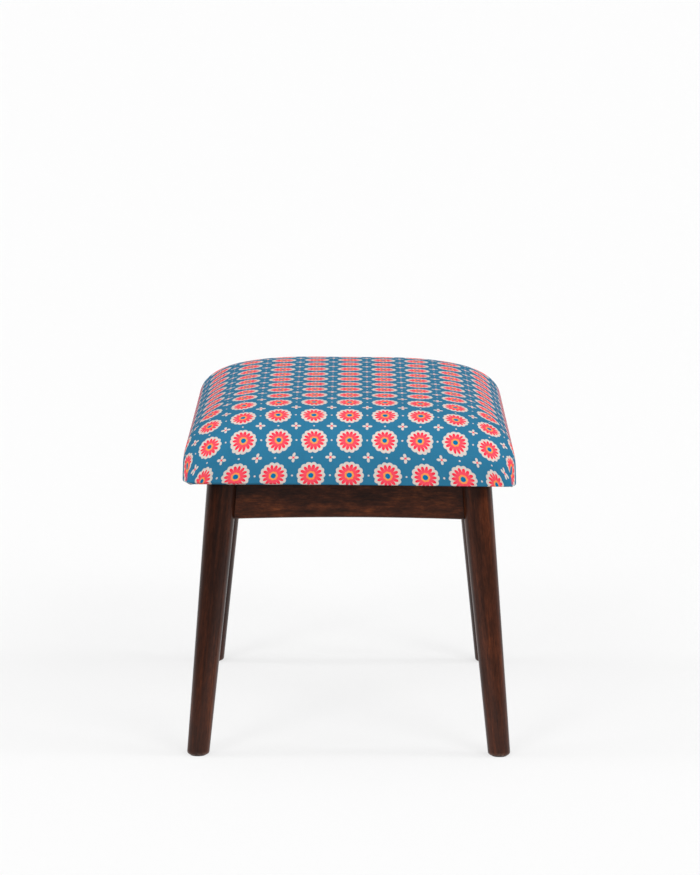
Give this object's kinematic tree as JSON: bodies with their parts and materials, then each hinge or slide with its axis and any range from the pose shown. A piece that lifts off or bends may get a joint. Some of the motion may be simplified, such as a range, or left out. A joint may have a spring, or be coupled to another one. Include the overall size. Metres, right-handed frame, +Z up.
{
  "type": "upholstered bench",
  "caption": "Upholstered bench with a crowned, printed fabric seat on a dark wooden frame of splayed, tapered round legs and arched rails.",
  "frame": {"origin": "on the floor, under the middle of the seat", "axes": "+Z up, +X to the right across the seat, +Y along the seat, away from the front end"},
  "size_m": [0.43, 0.6, 0.454],
  "materials": {
    "dark_wood": "dark brown stain, satin lacquer",
    "raw_wood": "unfinished",
    "plywood": "unfinished",
    "print_fabric": "printed cotton, plain weave",
    "wadding": "polyester fleece",
    "foam": "open cell foam",
    "dust_cloth": "non-woven cloth",
    "steel": "zinc plated",
    "felt": "pressed felt"
  },
  "bodies": {
    "root": {"front_left_leg": "dark_wood", "front_right_leg": "dark_wood", "rear_left_leg": "dark_wood", "rear_right_leg": "dark_wood", "front_left_foot_pad": "felt", "front_right_foot_pad": "felt", "rear_left_foot_pad": "felt", "rear_right_foot_pad": "felt", "front_left_block": "raw_wood", "front_right_block": "raw_wood", "rear_left_block": "raw_wood", "rear_right_block": "raw_wood", "front_rail": "dark_wood", "rear_rail": "dark_wood", "left_rail": "dark_wood", "right_rail": "dark_wood", "block_screws": "steel", "seat_screws": "steel", "seat_washers": "steel", "seat_board": "plywood", "foam_pad": "foam", "wadding_wrap": "wadding", "fabric_cover": "print_fabric", "cover_staples": "steel", "dust_cover": "dust_cloth", "dust_cover_staples": "steel"}
  },
  "joints": []
}
